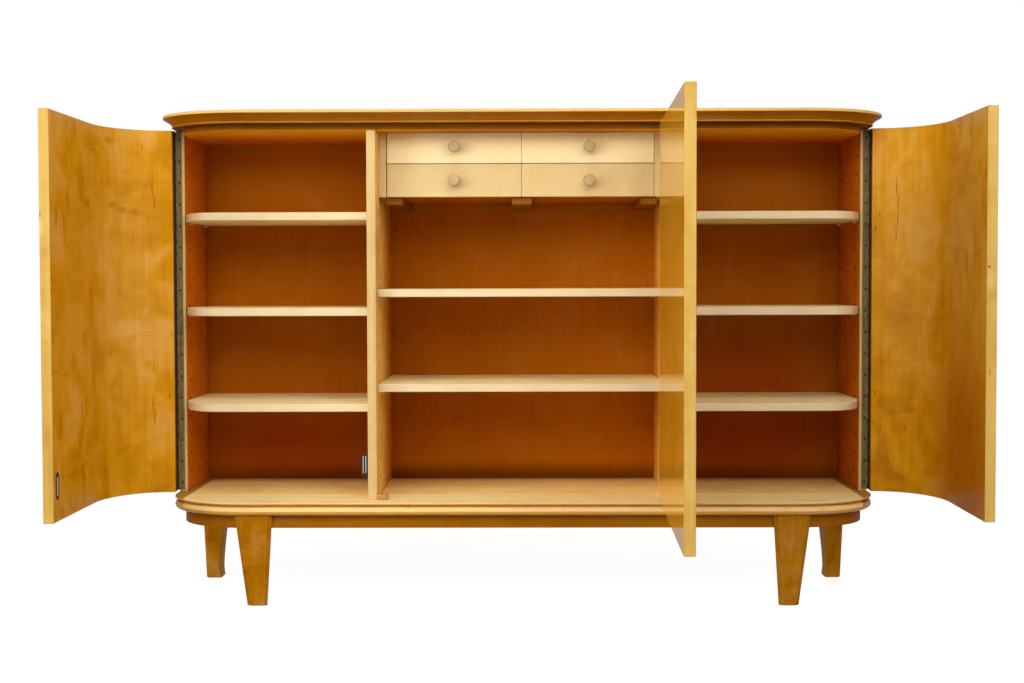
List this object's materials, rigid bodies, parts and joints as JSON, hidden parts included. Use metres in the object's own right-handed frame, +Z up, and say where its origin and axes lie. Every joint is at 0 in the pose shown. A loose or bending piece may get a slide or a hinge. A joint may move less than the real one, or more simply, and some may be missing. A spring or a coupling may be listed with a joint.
{
  "type": "sideboard",
  "caption": "Sideboard on tapered legs with bowed end doors on piano hinges, a flat middle door, loose shelves, small drawers and a moulded top.",
  "frame": {"origin": "on the ground, at the middle of the box round the whole piece as it stands in the picture, with its three doors open and its drawers shut", "axes": "+X along the front, to the right for someone facing it; +Y from the front to the back; +Z up"},
  "size_m": [1.9322, 1.0678, 1.1104],
  "materials": {
    "birch_lacquered": "gloss lacquer",
    "birch_pale": "satin lacquer",
    "birch_shaded": "satin lacquer",
    "knob_wood": "turned and lacquered",
    "dark_steel": "aged",
    "catch_plastic": "matt"
  },
  "bodies": {
    "cabinet": {"top_board": "birch_lacquered", "carcass_top": "birch_shaded", "side_left": "birch_lacquered", "side_right": "birch_lacquered", "divider_left": "birch_pale", "divider_right": "birch_pale", "back_panel": "birch_shaded", "floor_panel": "birch_lacquered", "bottom_rail_front": "birch_lacquered", "bottom_rail_left": "birch_lacquered", "bottom_rail_right": "birch_lacquered", "apron_front": "birch_lacquered", "apron_left": "birch_lacquered", "apron_right": "birch_lacquered", "leg_front_left": "birch_lacquered", "leg_front_right": "birch_lacquered", "leg_rear_left": "birch_lacquered", "leg_rear_right": "birch_lacquered", "shelf_left_low": "birch_pale", "shelf_left_middle": "birch_pale", "shelf_left_high": "birch_pale", "shelf_right_low": "birch_pale", "shelf_right_middle": "birch_pale", "shelf_right_high": "birch_pale", "shelf_middle_low": "birch_pale", "shelf_middle_high": "birch_pale", "hinge_stile": "birch_lacquered", "hinge_fixed_left": "dark_steel", "hinge_fixed_right": "dark_steel", "hinge_fixed_middle": "dark_steel", "magnetic_catch": "catch_plastic", "door_stop": "birch_pale", "drawer_filler_left": "birch_pale", "drawer_filler_right": "birch_pale", "drawer_partition": "birch_pale", "drawer_runner_left": "birch_pale", "drawer_runner_middle": "birch_pale", "drawer_runner_right": "birch_pale"},
    "left_door": {"door_left": "birch_lacquered", "hinge_moving_left": "dark_steel", "striker_plate": "dark_steel"},
    "right_door": {"door_right": "birch_lacquered", "hinge_moving_right": "dark_steel"},
    "middle_door": {"door_middle": "birch_lacquered", "hinge_moving_middle": "dark_steel"},
    "upper_left_drawer": {"drawer_front_upper_left": "birch_pale", "drawer_tray_upper_left": "birch_pale", "drawer_knob_upper_left": "knob_wood"},
    "upper_right_drawer": {"drawer_front_upper_right": "birch_pale", "drawer_tray_upper_right": "birch_pale", "drawer_knob_upper_right": "knob_wood"},
    "lower_left_drawer": {"drawer_front_lower_left": "birch_pale", "drawer_tray_lower_left": "birch_pale", "drawer_knob_lower_left": "knob_wood"},
    "lower_right_drawer": {"drawer_front_lower_right": "birch_pale", "drawer_tray_lower_right": "birch_pale", "drawer_knob_lower_right": "knob_wood"}
  },
  "joints": [
    {"name": "left_door_hinge", "type": "hinge", "parent": "cabinet", "child": "left_door", "pos_m": [-0.8022, 0.292, 0.6625], "axis": [0, 0, -1], "range_deg": [-90.35, 80]},
    {"name": "right_door_hinge", "type": "hinge", "parent": "cabinet", "child": "right_door", "pos_m": [0.8098, 0.292, 0.6625], "axis": [0, 0, 1], "range_deg": [-88.46, 80]},
    {"name": "middle_door_hinge", "type": "hinge", "parent": "cabinet", "child": "middle_door", "pos_m": [0.3329, 0.1284, 0.6625], "axis": [0, 0, 1], "range_deg": [-88.45, 50]},
    {"name": "upper_left_slide", "type": "slide", "parent": "cabinet", "child": "upper_left_drawer", "axis": [0, -1, 0], "range_m": [0, 0.22]},
    {"name": "upper_right_slide", "type": "slide", "parent": "cabinet", "child": "upper_right_drawer", "axis": [0, -1, 0], "range_m": [0, 0.22]},
    {"name": "lower_left_slide", "type": "slide", "parent": "cabinet", "child": "lower_left_drawer", "axis": [0, -1, 0], "range_m": [0, 0.22]},
    {"name": "lower_right_slide", "type": "slide", "parent": "cabinet", "child": "lower_right_drawer", "axis": [0, -1, 0], "range_m": [0, 0.22]}
  ]
}
